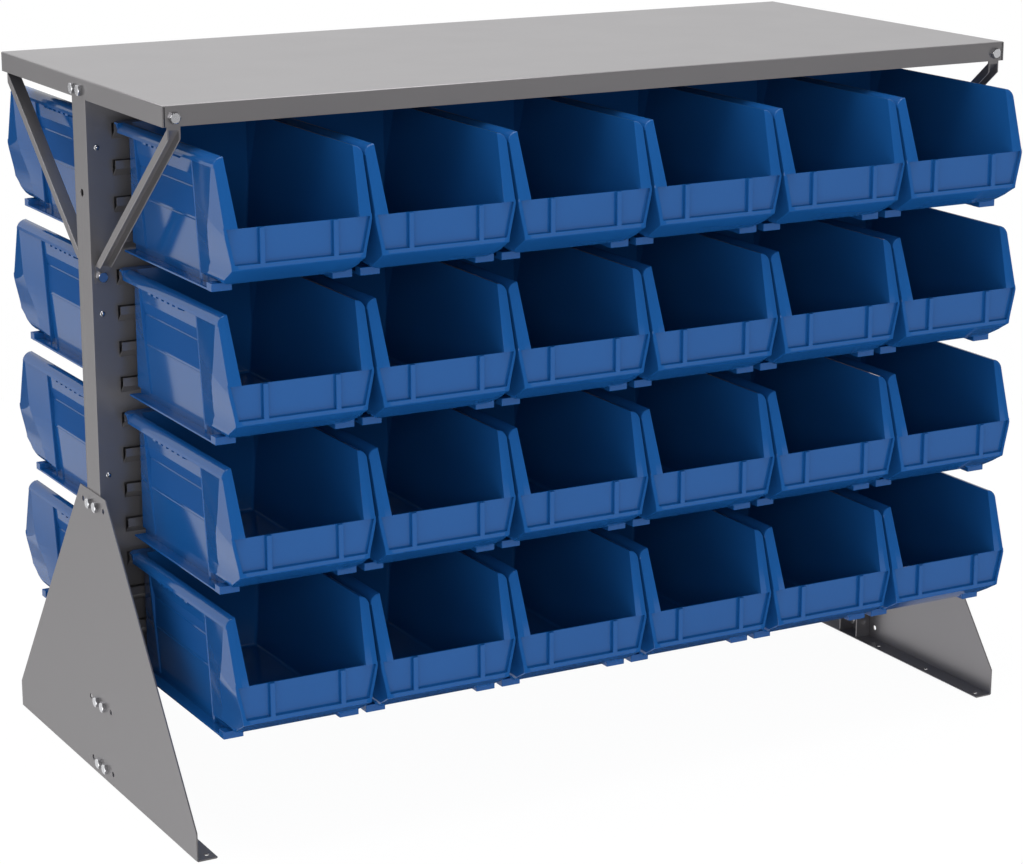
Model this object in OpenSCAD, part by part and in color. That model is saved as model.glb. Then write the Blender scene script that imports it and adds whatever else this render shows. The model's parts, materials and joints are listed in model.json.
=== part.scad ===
// Louvered floor bin rack: a folded steel worktop on two end frames, with a louvered panel on
// each side that carries rows of open-front storage bins.
// Millimetres, +Z up, +X along the length, -Y the front.
// The origin is on the floor, under the middle of the rack.

/* [Bins] */
// Width of a bin over its rim
bin_w = 209.55; // [180:0.05:240]
// Length of a bin from its hanging lip to its front
bin_l = 374.65; // [330:0.05:430]
// Height of a bin
bin_h = 177.8; // [160:0.1:230]
// Gap between neighbouring bins in a row
bin_gap = 2; // [1:0.05:12]
// Columns of bins on each side
bin_cols = 6; // [1:1:6]
// Rows of bins on each side
bin_rows = 4; // [2:1:4]
// Wall of a bin, front and back
bin_wall = 3; // [2:0.1:4]
// Floor of a bin
bin_floor = 3; // [2:0.1:4]
// Height of the thick rim round the top
rim_h = 13.4; // [8:0.1:18]
// Height of the low front wall
front_h = 89; // [60:0.5:110]
// How far the rim's front corner stands behind the front wall
front_lean = 29.5; // [10:0.5:45]
// Height of the front wall's lower edge, where the underside slopes back
chin_h = 37; // [20:0.5:50]
// Length of the sloping underside below the front wall
chin_l = 46.5; // [30:0.5:54]
// Set-in of the front wall's lower corners from the rim's side
chin_inset = 11.5; // [6:0.1:16]
// Rim width on the long sides, from the outer edge to the inner wall
rim_w = 14.3; // [11:0.1:20]
// Set-in of the inner wall at the floor
floor_inset = 24.6; // [22:0.1:32]
// Set-in of the outer side wall just under the rim
side_inset_top = 7.3; // [4:0.1:10]
// Set-in of the outer side wall at the bottom rail
side_inset_low = 19.4; // [17:0.1:21]
// Set-in of the rear corners
rear_inset = 17.8; // [12:0.1:22]
// Length of the slanted rear corners
rear_corner_l = 40; // [20:1:60]
// Distance from the front to the start of the flared front sides
flare_start = 115.5; // [80:0.5:150]
// Set-in of the flared sides at their rear lower corner
flare_inset = 16; // [12:0.1:19]
// Angle by which the sides flare towards the front
flare_angle = 9; // [7:0.1:12]
// Angle by which the flared sides lean outwards
flare_lean = 3.1; // [1:0.1:4]
// Width of the bevel on the front corners, across the front
corner_w = 9.8; // [4:0.1:11]
// Length of the bevel on the front corners, along the sides
corner_l = 2; // [1:0.1:10]
// Width of the bevel beside the low front wall, across the front
chin_corner_w = 8; // [3:0.1:9]
// Length of the bevel beside the low front wall, along the sides
chin_corner_l = 1.5; // [1:0.1:8]
// Width of the rib behind the recessed side panel
side_rib = 3; // [2:0.1:8]
// Depth of the recessed side panel
panel_recess = 2; // [1:0.1:3]
// Depth of the groove across the side panel
groove_depth = 2.5; // [1:0.1:3]
// Height of the groove's lower edge
groove_low = 85; // [60:1:95]
// Height of the groove's deepest line
groove_mid = 127; // [105:1:130]
// Height of the groove's upper edge
groove_high = 142; // [133:1:145]
// Thickness of the rails under the long sides
rail_t = 3; // [2:0.1:4]
// Set-in of the rails' outer edges
rail_inset = 4.8; // [2:0.1:8]
// Height of the rails and of their front feet
foot_h = 9.8; // [6:0.1:12]
// Width of a front foot
foot_w = 28.5; // [24:0.5:40]
// Length of a front foot
foot_l = 16; // [10:0.5:24]
// Distance from the front to the feet
foot_set = 55.5; // [55:0.5:90]
// Width of the label panel in the front wall
label_w = 94; // [60:1:110]
// Width of the ribs beside the label panel
label_rib = 9.5; // [5:0.5:14]
// Depth of the sunk panels in the front wall
label_sink = 1.6; // [0.6:0.1:2]
// Margin below the sunk panels
label_margin = 6; // [3:0.5:12]
// Margin beside the outer sunk panels
label_edge = 2; // [1:0.1:6]
// Reach of the hanger behind the bin's rear wall
hanger_reach = 18.2; // [16:0.1:26]
// Thickness of the hanger plate
hanger_t = 3; // [2:0.1:4]
// Set-in of the hanger's rear corners
hanger_inset = 7.8; // [4:0.1:16]
// Distance from the hanging lip to the rim's slanted rear end
rim_rear = 10.5; // [9.5:0.1:14]
// Thickness of the hanging lip
lip_t = 2.35; // [1.8:0.05:3]
// Depth of the hanging lip below the hanger plate
lip_h = 9; // [6:0.1:10]
// Spacing of the two stand-off ribs behind a bin
standoff_gap = 100; // [60:1:140]
// Thickness of a stand-off rib
standoff_t = 3; // [2:0.1:5]
// Height of a stand-off rib
standoff_h = 36; // [28:1:45]

/* [Louver panels] */
// Sheet thickness of a louver panel
panel_t = 1.5; // [1:0.1:2.5]
// Pitch of the louvers
louver_pitch = 50.8; // [44:0.1:60]
// Height of a louver
louver_h = 20; // [18:0.1:24]
// Reach of a louver, from the panel's face to the louver's back
louver_out = 9.1; // [8:0.1:12]
// Gap between two louvers in a row
louver_gap = 6; // [3:0.5:30]
// Clearance between a bin's hanger and its louver
hang_clear = 0.3; // [0.1:0.05:0.6]
// Room above a bin for lifting it off
lift_room = 25.4; // [22:0.1:40]
// Panel below the lowest louver
panel_foot = 32; // [26:1:60]
// Panel above the highest louver
panel_head = 36; // [20:1:44]

/* [Worktop] */
// Depth of the worktop, front to back
top_d = 610; // [560:1:700]
// Room from the top of the highest bins to the worktop's surface
head_room = 58.6; // [54:0.1:90]
// Depth of the folded skirt, with the top sheet
skirt_h = 28; // [25:0.5:32]
// Sheet thickness of the worktop
top_t = 2; // [1.5:0.1:3]
// Open seam at each corner of the skirt
corner_gap = 1.5; // [1:0.1:3]
// Room from the outer bins to the rack's end
end_room = 36.35; // [34:0.05:60]

/* [Uprights] */
// Width of an upright across its web
upright_w = 47.8; // [44:0.1:60]
// Depth of an upright's flanges
upright_flange = 25.4; // [24:0.1:34]
// Sheet thickness of an upright
upright_t = 2; // [1.5:0.1:3]
// Diameter of the hole in an upright's web
web_hole_d = 11; // [6:0.5:16]
// Drop from the worktop's surface to that hole
web_hole_drop = 159; // [120:1:200]

/* [Legs] */
// Room from the floor to the lowest bins
floor_room = 170; // [140:1:220]
// Length of a leg on the floor
leg_d = 689.4; // [600:0.2:760]
// Height of a leg
leg_h = 431; // [420:1:470]
// Length of a leg's top edge
leg_top_d = 96.8; // [92:0.2:160]
// Height of a leg's upright front and rear edges
leg_edge_h = 41; // [20:1:60]
// Sheet thickness of a leg
leg_t = 2; // [1.5:0.1:3]
// Width of a leg's floor flange
leg_flange = 30.4; // [28:0.1:50]
// Diameter of the floor anchor holes
anchor_d = 7; // [5:0.1:10]
// Distance from the anchor holes to the flange's inner edge
anchor_edge = 10.4; // [8:0.1:12]
// Distance from the middle to the first anchor hole
anchor_first = 76.2; // [60:0.1:90]
// Distance from the last anchor hole to the flange's end
anchor_end = 14.5; // [10:0.1:30]
// Spacing of the spare holes beside the leg bolts
spare_gap = 78; // [74:0.5:82]
// Diameter of the spare holes
spare_d = 8; // [4:0.1:9]

/* [Braces] */
// Width of a brace
brace_w = 18; // [16:0.1:22]
// Depth of a brace's flanges
brace_flange = 11; // [8:0.1:14]
// Sheet thickness of a brace
brace_t = 2; // [1.5:0.1:2.5]
// Distance from a brace's middle to the rack's end
brace_inset = 16; // [14:0.1:18]
// Height between a brace's upper and lower bolts
brace_drop = 256.5; // [220:0.5:300]
// Length of a brace's flat end, from the bolt to the bend
brace_tab = 15.5; // [14:0.1:20]
// Length of a brace's flat end beyond the bolt
brace_end = 9; // [7:0.1:12]

/* [Fasteners] */
// Diameter of the bolts
bolt_d = 8; // [5:0.1:9]
// Play of a bolt or screw in its hole, on the diameter
hole_play = 0.8; // [0.4:0.1:1.5]
// Width of the hexagon heads and nuts across flats
hex_w = 14; // [11:0.1:15]
// Height of a bolt head
head_h = 5.5; // [3:0.1:7]
// Height of a nut
nut_h = 6.5; // [4:0.1:7]
// Length of bolt past the nut
bolt_end = 2; // [1:0.1:4]
// Spacing of two bolts side by side
bolt_gap = 25.4; // [20:0.1:30]
// Drop from the worktop's surface to the skirt's bolts
skirt_bolt_drop = 16.5; // [12:0.1:18]
// Height of the lower pair of leg bolts
leg_bolt_low = 19.5; // [18:0.5:40]
// Height of the middle pair of leg bolts
leg_bolt_mid = 114; // [80:1:160]
// Drop from the leg's top edge to the upper pair of leg bolts
leg_bolt_drop = 19; // [18:0.5:50]
// Diameter of the panel screws
screw_d = 4.8; // [3:0.1:6]
// Diameter of a panel screw's domed head
screw_head_d = 8.4; // [7:0.1:11]
// Height of a panel screw's domed head
screw_head_h = 2.6; // [1.5:0.1:4]
// Length of a panel screw past the upright's flange
screw_end = 3; // [1:0.1:6]
// Distance from a panel's edge to the first panel screw
screw_margin = 68.5; // [55:0.5:75]
// Panel screws along each end of a panel
screw_count = 4; // [2:1:4]

/* [Hidden] */
$fn = 48;
steel_grey = [0.53, 0.52, 0.53];
panel_grey = [0.34, 0.33, 0.34];
bin_blue = [0.07, 0.24, 0.55];
zinc = [0.82, 0.82, 0.84];

// Overlap that joins two shapes of one piece
join = 0.5;

// Places along the length
bin_pitch = bin_w + bin_gap;
top_l = bin_cols * bin_pitch - bin_gap + 2 * end_room;
end_x = top_l / 2;
upright_x = end_x - top_t;

// Heights
louvers_per_bin = ceil((bin_h + lift_room) / louver_pitch - 0.001);
row_pitch = louvers_per_bin * louver_pitch;
top_h = floor_room + bin_h + (bin_rows - 1) * row_pitch + head_room;
first_tip = top_h - head_room - hanger_t - hang_clear;
louver_rows = bin_rows * louvers_per_bin;
panel_low = first_tip - (louver_rows - 1) * louver_pitch - panel_foot;
panel_high = first_tip + panel_head;
skirt_bolt_z = top_h - skirt_bolt_drop;
brace_bolt_z = skirt_bolt_z - brace_drop;
leg_bolt_rows = [leg_bolt_low, leg_bolt_mid, leg_h - leg_bolt_drop];

// Distances from the rack's middle plane
upright_y = upright_w / 2;
panel_y = upright_y + panel_t;
bin_y = panel_y + louver_out - hang_clear - lip_t;
skirt_y = top_d / 2 - top_t;

// Half widths of a bin
rim_x = bin_w / 2;
rim_z = bin_h - rim_h;
floor_z = foot_h + bin_floor;
inner_slope = (floor_inset - rim_w) / (bin_h - floor_z);

brace_x = end_x - brace_inset;
anchor_x = end_x - leg_flange + anchor_edge;
anchor_pitch = (leg_d / 2 - anchor_end - anchor_first) / 2;
anchor_ys = [for (i = [0:2]) anchor_first + i * anchor_pitch];
screw_pitch = (panel_high - panel_low - 2 * screw_margin) / (screw_count - 1);
screw_clear = brace_tab + screw_head_d;
screw_zs = [
  for (i = [0:screw_count - 1])
    let (z = panel_high - screw_margin - i * screw_pitch)
      if (abs(z - brace_bolt_z) > screw_clear) z
];

sides = ["front", "back"];
bin_names = [
  for (s = sides, r = [1:bin_rows], c = [1:bin_cols]) str("bin_", s, "_r", r, "c", c)
];
frame_names = [
  "worktop", "upright_left", "upright_right", "leg_left", "leg_right",
  "louver_panel_front", "louver_panel_back", "braces_left", "braces_right",
  "hex_bolts", "hex_nuts", "panel_screws"
];

// A prism that runs along X, from points in Y and Z
module along_x(points, x0, x1) {
  translate([x0, 0, 0])
    rotate([90, 0, 90])
      linear_extrude(x1 - x0)
        polygon(points);
}

// A prism that runs along Y, from points in X and Z
module along_y(points, y0, y1) {
  translate([0, y1, 0])
    rotate([90, 0, 0])
      linear_extrude(y1 - y0)
        polygon(points);
}

// A prism that runs along Z, from points in X and Y
module along_z(points, z0, z1) {
  translate([0, 0, z0])
    linear_extrude(z1 - z0)
      polygon(points);
}

// A round bar along X that starts at the given point
module bar_x(p, length, d) {
  translate(p)
    rotate([0, 90, 0])
      cylinder(h = length, d = d);
}

// A round bar along Y that starts at the given point
module bar_y(p, length, d) {
  translate(p)
    rotate([-90, 0, 0])
      cylinder(h = length, d = d);
}

// Half an outline mirrored about X = 0 into a whole one
function both_sides(half) =
  concat(half, [for (i = [len(half) - 1:-1:0]) [-half[i][0], half[i][1]]]);

// The children on the rack's two ends
module both_ends() {
  for (m = [0, 1]) mirror([m, 0, 0]) children();
}

// The children on the rack's front and back
module front_and_back() {
  for (m = [0, 1]) mirror([0, m, 0]) children();
}

// Worktop: one folded sheet with a skirt on all four sides, open at the corners
module worktop() {
  hole = bolt_d + hole_play;
  color(steel_grey)
    difference() {
      union() {
        translate([-end_x, -top_d / 2, top_h - top_t])
          cube([top_l, top_d, top_t]);
        both_ends()
          translate([end_x - top_t, -top_d / 2, top_h - skirt_h])
            cube([top_t, top_d, skirt_h - join]);
        front_and_back()
          translate([-end_x + top_t + corner_gap, skirt_y, top_h - skirt_h])
            cube([top_l - 2 * (top_t + corner_gap), top_t, skirt_h - join]);
      }
      both_ends() {
        for (s = [-1, 1])
          bar_x([end_x - 2 * top_t, s * bolt_gap / 2, skirt_bolt_z], 3 * top_t, hole);
        front_and_back()
          bar_y([brace_x, skirt_y - top_t, skirt_bolt_z], 3 * top_t, hole);
      }
    }
}

// Upright: a channel that opens towards the middle of the rack and stands on the leg's flange
module upright() {
  hole = bolt_d + hole_play;
  low = leg_t;
  high = top_h - top_t;
  inner_x = upright_x - upright_flange;
  color(steel_grey)
    difference() {
      translate([inner_x, -upright_w / 2, low])
        cube([upright_flange, upright_w, high - low]);
      translate([inner_x - join, -upright_w / 2 + upright_t, low - join])
        cube([upright_flange - upright_t + join, upright_w - 2 * upright_t, high - low + 2 * join]);
      for (s = [-1, 1], z = concat(leg_bolt_rows, [skirt_bolt_z]))
        bar_x([upright_x - 2 * upright_t, s * bolt_gap / 2, z], 3 * upright_t, hole);
      front_and_back() {
        bar_y([brace_x, upright_y - 2 * upright_t, brace_bolt_z], 3 * upright_t, hole);
        for (z = screw_zs)
          bar_y([brace_x, upright_y - 2 * upright_t, z], 3 * upright_t, screw_d + hole_play);
      }
      bar_x([upright_x - 2 * upright_t, 0, top_h - web_hole_drop], 3 * upright_t, web_hole_d);
    }
}

// Leg: a tapered plate outside the upright, with a floor flange turned inwards
module leg() {
  hole = bolt_d + hole_play;
  plate = both_sides([[leg_d / 2, 0], [leg_d / 2, leg_edge_h], [leg_top_d / 2, leg_h]]);
  color(steel_grey)
    difference() {
      union() {
        along_x(plate, upright_x, upright_x + leg_t);
        translate([end_x - leg_flange, -leg_d / 2, 0])
          cube([leg_flange - top_t + join, leg_d, leg_t]);
      }
      for (z = leg_bolt_rows, s = [-1, 1]) {
        bar_x([upright_x - leg_t, s * bolt_gap / 2, z], 3 * leg_t, hole);
        bar_x([upright_x - leg_t, s * spare_gap / 2, z], 3 * leg_t, spare_d);
      }
      for (y = anchor_ys, s = [-1, 1])
        translate([anchor_x, s * y, -leg_t])
          cylinder(h = 3 * leg_t, d = anchor_d);
    }
}

// One louver: the sheet pushed outwards and up, open at its top and its ends
module louver() {
  slant = panel_t * sqrt(2);
  bend = panel_t * (sqrt(2) - 1);
  face = panel_y;
  out = panel_y + louver_out;
  profile = [
    [face - panel_t / 2, -louver_h], [face, -louver_h], [out, louver_out - louver_h], [out, 0],
    [out + panel_t, 0], [out + panel_t, louver_out - louver_h - bend],
    [face, -louver_h - slant], [face - panel_t / 2, -louver_h - slant]
  ];
  along_x(profile, -(bin_pitch - louver_gap) / 2, (bin_pitch - louver_gap) / 2);
}

// Louver panel: a sheet screwed to both uprights, with one louver per bin column in each row
module louver_panel() {
  louver_w = bin_pitch - louver_gap;
  color(panel_grey)
    difference() {
      union() {
        difference() {
          translate([-upright_x, upright_y, panel_low])
            cube([2 * upright_x, panel_t, panel_high - panel_low]);
          for (r = [0:louver_rows - 1], c = [1:bin_cols])
            translate([bin_x(c) - louver_w / 2, upright_y - join, louver_tip(r) - louver_h])
              cube([louver_w, panel_t + 2 * join, louver_h]);
        }
        for (r = [0:louver_rows - 1], c = [1:bin_cols])
          translate([bin_x(c), 0, louver_tip(r)])
            louver();
      }
      both_ends() {
        bar_y([brace_x, upright_y - panel_t, brace_bolt_z], 3 * panel_t, bolt_d + hole_play);
        for (z = screw_zs)
          bar_y([brace_x, upright_y - panel_t, z], 3 * panel_t, screw_d + hole_play);
      }
    }
}

function bin_x(c) = (c - (bin_cols + 1) / 2) * bin_pitch;
function louver_tip(r) = first_tip - r * louver_pitch;
function bin_z(r) = top_h - head_room - bin_h - (r - 1) * row_pitch;

// Brace: a channel with its open side outwards and down, its ends flattened into bolted tabs
module brace() {
  high_y = skirt_y - brace_t / 2;
  low_y = panel_y + brace_t / 2;
  high_z = skirt_bolt_z - brace_tab;
  low_z = brace_bolt_z + brace_tab;
  slope = (high_z - low_z) / (high_y - low_y);
  stretch = sqrt(1 + slope * slope);
  shift = brace_t / 2 * (stretch - slope);
  drop = brace_flange * stretch;
  tip_y = low_y + brace_t / 2 + shift / slope;
  strip = [
    [high_y - brace_t / 2, skirt_bolt_z + brace_end], [high_y - brace_t / 2, high_z + shift],
    [low_y - brace_t / 2, low_z + shift], [low_y - brace_t / 2, brace_bolt_z - brace_end],
    [low_y + brace_t / 2, brace_bolt_z - brace_end], [low_y + brace_t / 2, low_z - shift],
    [high_y + brace_t / 2, high_z - shift], [high_y + brace_t / 2, skirt_bolt_z + brace_end]
  ];
  flange = [
    [high_y + brace_t / 2, high_z + shift], [high_y + brace_t / 2, high_z + shift - drop],
    [tip_y + (drop - 2 * shift) / slope, low_z], [low_y, low_z]
  ];
  color(steel_grey)
    difference() {
      union() {
        along_x(strip, brace_x - brace_w / 2, brace_x + brace_w / 2);
        for (x = [brace_x - brace_w / 2, brace_x + brace_w / 2 - brace_t])
          along_x(flange, x, x + brace_t);
      }
      bar_y([brace_x, skirt_y - 2 * brace_t, skirt_bolt_z], 3 * brace_t, bolt_d + hole_play);
      bar_y([brace_x, panel_y - brace_t, brace_bolt_z], 3 * brace_t, bolt_d + hole_play);
    }
}

// One hexagon bolt along +X whose head sits on the plane X = 0 and whose shank runs to -X
module bolt(grip) {
  rotate([0, 90, 0])
    cylinder(h = head_h, d = hex_w / cos(30), $fn = 6);
  bar_x([-grip - nut_h - bolt_end, 0, 0], grip + nut_h + bolt_end + join, bolt_d);
}

// The nut that belongs to such a bolt
module nut(grip) {
  difference() {
    translate([-grip - nut_h, 0, 0])
      rotate([0, 90, 0])
        cylinder(h = nut_h, d = hex_w / cos(30), $fn = 6);
    bar_x([-grip - nut_h - join, 0, 0], nut_h + 2 * join, bolt_d + hole_play);
  }
}

// The children at every bolt place, turned so that +X points outwards
module end_bolt_places() {
  both_ends()
    for (s = [-1, 1], z = concat(leg_bolt_rows, [skirt_bolt_z]))
      translate([upright_x + (z == skirt_bolt_z ? top_t : leg_t), s * bolt_gap / 2, z])
        children();
}

module skirt_bolt_places() {
  both_ends()
    front_and_back()
      translate([brace_x, top_d / 2, skirt_bolt_z])
        rotate([0, 0, 90])
          rotate([90, 0, 0])
            children();
}

module brace_bolt_places() {
  both_ends()
    front_and_back()
      translate([brace_x, panel_y + brace_t, brace_bolt_z])
        rotate([0, 0, 90])
          rotate([90, 0, 0])
            children();
}

module hex_bolts() {
  color(zinc) {
    end_bolt_places() bolt(top_t + upright_t);
    skirt_bolt_places() bolt(top_t + brace_t);
    brace_bolt_places() bolt(brace_t + panel_t + upright_t);
  }
}

module hex_nuts() {
  color(zinc) {
    end_bolt_places() nut(top_t + upright_t);
    skirt_bolt_places() nut(top_t + brace_t);
    brace_bolt_places() nut(brace_t + panel_t + upright_t);
  }
}

// Panel screws: domed heads outside the panel, threads through the upright's flange
module panel_screws() {
  r = screw_head_d / 2;
  ball = (r * r + screw_head_h * screw_head_h) / (2 * screw_head_h);
  color(zinc)
    both_ends()
      front_and_back()
        for (z = screw_zs)
          translate([brace_x, panel_y, z])
            rotate([-90, 0, 0]) {
              intersection() {
                translate([0, 0, screw_head_h - ball]) sphere(ball);
                cylinder(h = screw_head_h, r = r);
              }
              translate([0, 0, -panel_t - upright_t - screw_end])
                cylinder(h = panel_t + upright_t + screw_end + join, d = screw_d);
            }
}

// The outer form of a bin below its rim, before its hollow
module bin_walls() {
  rear_slope = rear_corner_l / (rear_inset - side_inset_top);
  section = both_sides([
    [rim_x - chin_inset, 0], [rim_x - chin_inset, chin_h], [rim_x, front_h], [rim_x, rim_z + join]
  ]);
  plan = both_sides([
    [rim_x - rear_inset, hanger_reach], [rim_x, hanger_reach + rear_inset * rear_slope],
    [rim_x, bin_l]
  ]);
  difference() {
    intersection() {
      along_y(section, 0, bin_l);
      along_z(plan, 0, rim_z + join);
    }
    bin_front_cut();
    for (m = [0, 1])
      mirror([m, 0, 0])
        bin_side_cut();
  }
}

// The outer form of a bin with its rim, cut to the outline that its sides show
module bin_block() {
  side = [
    [hanger_reach, foot_h], [bin_l - chin_l, foot_h], [bin_l, chin_h], [bin_l, front_h],
    [bin_l - front_lean, bin_h], [rim_rear, bin_h], [hanger_reach, bin_h - hanger_reach + rim_rear]
  ];
  difference() {
    intersection() {
      along_x(side, -rim_x, rim_x);
      union() {
        bin_walls();
        translate([-rim_x, 0, rim_z])
          cube([bin_w, bin_l, rim_h]);
      }
    }
    for (m = [0, 1])
      mirror([m, 0, 0])
        bin_corner_cut();
  }
}

// The hollow of a bin, open at the top and above the low front wall
module bin_hollow() {
  over = 2 * rim_h;
  slope = (chin_h - foot_h) / chin_l;
  chin_z = chin_h + bin_wall * (sqrt(1 + slope * slope) - slope);
  side = [
    [hanger_reach + bin_wall, floor_z], [bin_l - bin_wall - (chin_z - floor_z) / slope, floor_z],
    [bin_l - bin_wall, chin_z], [bin_l - bin_wall, front_h], [bin_l + over, front_h],
    [bin_l + over, bin_h + over], [hanger_reach + bin_wall, bin_h + over]
  ];
  section = both_sides([
    [rim_x - floor_inset, 0], [rim_x - floor_inset, floor_z],
    [rim_x - rim_w + over * inner_slope, bin_h + over]
  ]);
  plan = both_sides([
    [rim_x - rear_inset - bin_wall, hanger_reach],
    [rim_x - rear_inset - bin_wall, hanger_reach + bin_wall],
    [rim_x - side_inset_top - bin_wall, hanger_reach + rear_corner_l],
    [rim_x - side_inset_top - bin_wall, bin_l + over]
  ]);
  intersection() {
    along_x(side, -rim_x, rim_x);
    along_y(section, 0, bin_l + over);
    along_z(plan, 0, bin_h + over);
  }
}

// What one side of a bin loses below its rim: the lean of the wall, the recessed panel with its
// groove, and the wedge beside the flared front
module bin_side_cut() {
  out = 2 * rim_x;
  low = rim_x - side_inset_low;
  high = rim_x - side_inset_top;
  lean = (high - low) / (rim_z - rail_t);
  wall = function(z) low + (z - rail_t) * lean - panel_recess;
  flare_y = bin_l - flare_start;
  along_y([[low, rail_t], [high, rim_z], [out, rim_z], [out, rail_t]], 0, flare_y);
  along_y([
    [wall(rail_t), rail_t], [wall(groove_low), groove_low],
    [wall(groove_mid) - groove_depth, groove_mid], [wall(groove_high), groove_high],
    [wall(rim_z), rim_z], [out, rim_z], [out, rail_t]
  ], hanger_reach + rear_corner_l + side_rib, flare_y);
  translate([rim_x - flare_inset, flare_y, rail_t])
    rotate([0, flare_lean, 0])
      along_z([
        [0, -join], [0, 0], [flare_start * tan(flare_angle), flare_start],
        [out, flare_start], [out, -join]
      ], 0, bin_h);
}

// What a bevel takes off a corner that runs along Z, from w across the front to l along the side
module bevel_cut(w, l) {
  along_z([[-2 * w, l], [w, -2 * l], [3 * w, 3 * l]], -bin_h, bin_h);
}

// The bevels on one front corner, along the sloping front and down the low front wall
module bin_corner_cut() {
  translate([rim_x, bin_l, front_h]) {
    rotate([atan(front_lean / (bin_h - front_h)), 0, 0])
      bevel_cut(corner_w, corner_l);
    rotate([0, atan(chin_inset / (front_h - chin_h)), 0])
      bevel_cut(chin_corner_w, chin_corner_l);
  }
}

// What the front wall of a bin loses: the label panel and a panel on each side of it
module bin_front_cut() {
  low = chin_h + label_margin;
  rib_x = label_w / 2 + label_rib;
  low_x = rim_x - chin_inset - chin_corner_w - label_edge;
  high_x = rim_x - corner_w - label_edge;
  translate([-label_w / 2, bin_l - label_sink, low])
    cube([label_w, 2 * label_sink, front_h - low]);
  for (m = [0, 1])
    mirror([m, 0, 0])
      along_y([[rib_x, low], [low_x, low], [high_x, front_h], [rib_x, front_h]],
              bin_l - label_sink, bin_l + label_sink);
}

// The hanger behind a bin's rim: a plate with a lip that drops behind the louver
module bin_hanger() {
  plate = both_sides([
    [rim_x - hanger_inset, 0], [rim_x, hanger_reach / 2], [rim_x, hanger_reach + join]
  ]);
  along_z(plate, bin_h - hanger_t, bin_h);
  translate([-rim_x + hanger_inset, 0, bin_h - hanger_t - lip_h])
    cube([bin_w - 2 * hanger_inset, lip_t, lip_h + hanger_t - join]);
}

// The rails and feet under a bin, and the ribs that hold its back off the louvers
module bin_base() {
  rail_x = rim_x - rail_inset;
  inner_x = rail_x - foot_w;
  wall_x = rim_x - side_inset_low - panel_recess;
  front = bin_l - foot_set;
  standoff_y = lip_t + 2 * hang_clear + panel_t;
  for (m = [0, 1])
    mirror([m, 0, 0]) {
      translate([inner_x, hanger_reach, 0])
        cube([foot_w, front - hanger_reach, rail_t]);
      translate([inner_x, hanger_reach, 0])
        cube([wall_x - inner_x, front - hanger_reach, foot_h + join]);
      translate([inner_x, front - foot_l, 0])
        cube([foot_w, foot_l, foot_h]);
      translate([(standoff_gap - standoff_t) / 2, standoff_y, foot_h])
        cube([standoff_t, hanger_reach - standoff_y + join, standoff_h - foot_h]);
    }
}

// Bin: one moulding with a low front, hung on a louver by its rear lip
module bin() {
  difference() {
    union() {
      bin_block();
      bin_base();
    }
    bin_hollow();
  }
  bin_hanger();
}

module placed_bin(side, r, c) {
  color(bin_blue)
    mirror([0, side == "front" ? 1 : 0, 0])
      translate([bin_x(c), bin_y, bin_z(r)])
        bin();
}

worktop();
mirror([1, 0, 0]) upright();  // upright_left
upright();  // upright_right
mirror([1, 0, 0]) leg();  // leg_left
leg();  // leg_right
mirror([0, 1, 0]) louver_panel();  // louver_panel_front
louver_panel();  // louver_panel_back
mirror([1, 0, 0]) front_and_back() brace();  // braces_left
front_and_back() brace();  // braces_right
hex_bolts();
hex_nuts();
panel_screws();
for (s = sides, r = [1:bin_rows], c = [1:bin_cols])
  placed_bin(s, r, c);
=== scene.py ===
# Louvered floor bin rack: a grey steel rack with a worktop, and blue bins hung on both sides.
# Metres, +Z up, +X along the length, -Y the front, with the origin on the floor under the middle.
import json
import math

import bmesh
import bpy
from mathutils import Matrix, Vector

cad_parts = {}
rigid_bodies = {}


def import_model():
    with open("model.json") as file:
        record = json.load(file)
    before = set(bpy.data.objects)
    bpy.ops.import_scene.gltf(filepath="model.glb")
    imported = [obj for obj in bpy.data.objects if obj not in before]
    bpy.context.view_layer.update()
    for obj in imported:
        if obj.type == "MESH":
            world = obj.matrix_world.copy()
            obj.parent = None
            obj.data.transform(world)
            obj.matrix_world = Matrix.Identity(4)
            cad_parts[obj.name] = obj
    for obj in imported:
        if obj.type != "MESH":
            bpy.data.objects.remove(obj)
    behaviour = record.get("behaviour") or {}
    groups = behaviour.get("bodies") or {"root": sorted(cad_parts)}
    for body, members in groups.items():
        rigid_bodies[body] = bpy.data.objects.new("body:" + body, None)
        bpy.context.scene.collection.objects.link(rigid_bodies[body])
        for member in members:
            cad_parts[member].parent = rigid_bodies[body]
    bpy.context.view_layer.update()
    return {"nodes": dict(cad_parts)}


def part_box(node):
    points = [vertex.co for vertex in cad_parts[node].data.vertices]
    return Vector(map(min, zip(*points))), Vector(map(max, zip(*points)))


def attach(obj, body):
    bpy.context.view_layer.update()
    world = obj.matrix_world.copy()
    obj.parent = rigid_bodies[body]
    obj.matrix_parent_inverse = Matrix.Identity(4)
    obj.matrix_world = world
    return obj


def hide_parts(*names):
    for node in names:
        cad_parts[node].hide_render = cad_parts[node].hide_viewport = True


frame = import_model()


# Uprights
# Two folded steel channels that stand on the leg flanges and carry everything else.
# They are punched, bent and then enamelled grey, and bolts hold them to the legs and the worktop.
enamel_light = (0.268, 0.258, 0.266, 1)
enamel_dark = (0.247, 0.238, 0.245, 1)
fold_radius = 0.0018
fold_steps = 4
long_fold = 0.2
grain_detail = 2.0
grain_depth = 0.0002
patch_size = 9.0
patch_detail = 4.0
noise_middle = 0.5
weld = 1e-6
hair = 1e-5
flat_angle = 0.01
parallel = 0.999


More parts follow.
